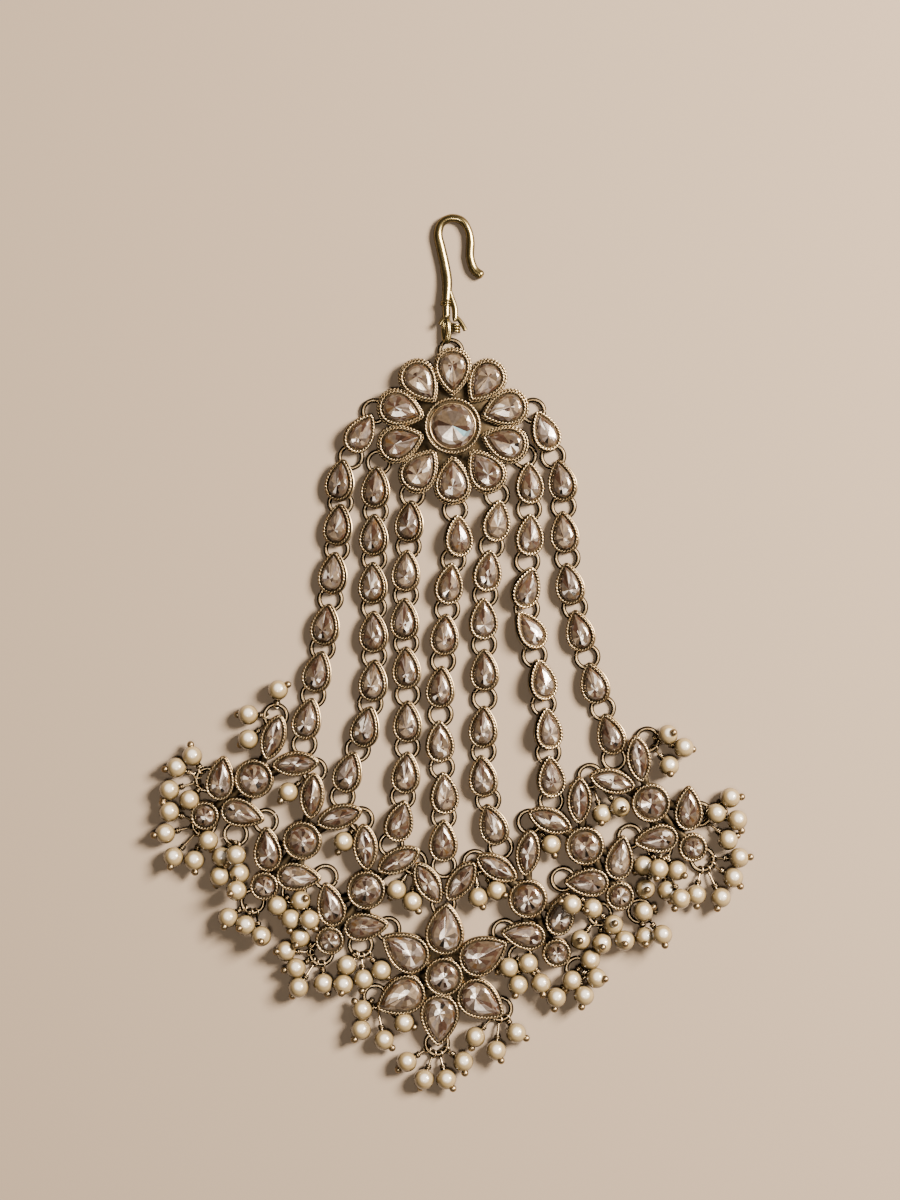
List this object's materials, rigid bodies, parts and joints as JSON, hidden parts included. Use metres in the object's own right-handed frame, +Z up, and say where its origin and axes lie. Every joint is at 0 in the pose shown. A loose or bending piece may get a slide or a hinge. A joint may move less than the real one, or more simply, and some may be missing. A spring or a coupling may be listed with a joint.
{
  "type": "jhoomar",
  "caption": "Fan-shaped side head ornament: wire hook, round stone medallion, link strands, soldered stone clusters, drop flower and pearl fringe.",
  "frame": {"origin": "on the surface it lies on, below the middle of its outline", "axes": "+Y runs along its length towards the hook, +Z up out of the stones' faces"},
  "size_m": [0.1004, 0.1482, 0.006],
  "materials": {
    "antique_metal": "antique gold, dark in the recesses and pale on the twisted rims",
    "hook_metal": "polished antique gold wire",
    "stone": "faceted champagne crystal with a foiled back",
    "pearl": "cream imitation pearl"
  },
  "bodies": {
    "root": {"centre_stone": "stone", "centre_strand": "antique_metal", "cluster_left_1": "antique_metal", "cluster_left_2": "antique_metal", "cluster_left_3": "antique_metal", "cluster_right_1": "antique_metal", "cluster_right_2": "antique_metal", "cluster_right_3": "antique_metal", "drop_flower": "antique_metal", "hook": "hook_metal", "medallion_setting": "antique_metal", "pearls_flower_bottom": "pearl", "pearls_flower_left": "pearl", "pearls_flower_right": "pearl", "pearls_left_1_foot": "pearl", "pearls_left_1_outer": "pearl", "pearls_left_1_small": "pearl", "pearls_left_1_to_2_upper": "pearl", "pearls_left_1_top": "pearl", "pearls_left_2_foot": "pearl", "pearls_left_2_small": "pearl", "pearls_left_2_to_3_upper": "pearl", "pearls_left_3_foot": "pearl", "pearls_left_3_small": "pearl", "pearls_left_3_to_v": "pearl", "pearls_right_1_foot": "pearl", "pearls_right_1_outer": "pearl", "pearls_right_1_small": "pearl", "pearls_right_1_to_2_upper": "pearl", "pearls_right_1_top": "pearl", "pearls_right_2_foot": "pearl", "pearls_right_2_small": "pearl", "pearls_right_2_to_3_upper": "pearl", "pearls_right_3_foot": "pearl", "pearls_right_3_small": "pearl", "pearls_right_3_to_v": "pearl", "petal_stone_1": "stone", "petal_stone_10": "stone", "petal_stone_2": "stone", "petal_stone_3": "stone", "petal_stone_4": "stone", "petal_stone_5": "stone", "petal_stone_6": "stone", "petal_stone_7": "stone", "petal_stone_8": "stone", "petal_stone_9": "stone", "ring_left_1_to_2_lower": "antique_metal", "ring_left_2_to_3_lower": "antique_metal", "ring_left_3_to_flower": "antique_metal", "ring_right_1_to_2_lower": "antique_metal", "ring_right_2_to_3_lower": "antique_metal", "ring_right_3_to_flower": "antique_metal", "ring_v_to_flower": "antique_metal", "strand_1": "antique_metal", "strand_2": "antique_metal", "strand_3": "antique_metal", "strand_5": "antique_metal", "strand_6": "antique_metal", "strand_7": "antique_metal", "top_ring": "antique_metal"}
  },
  "joints": []
}
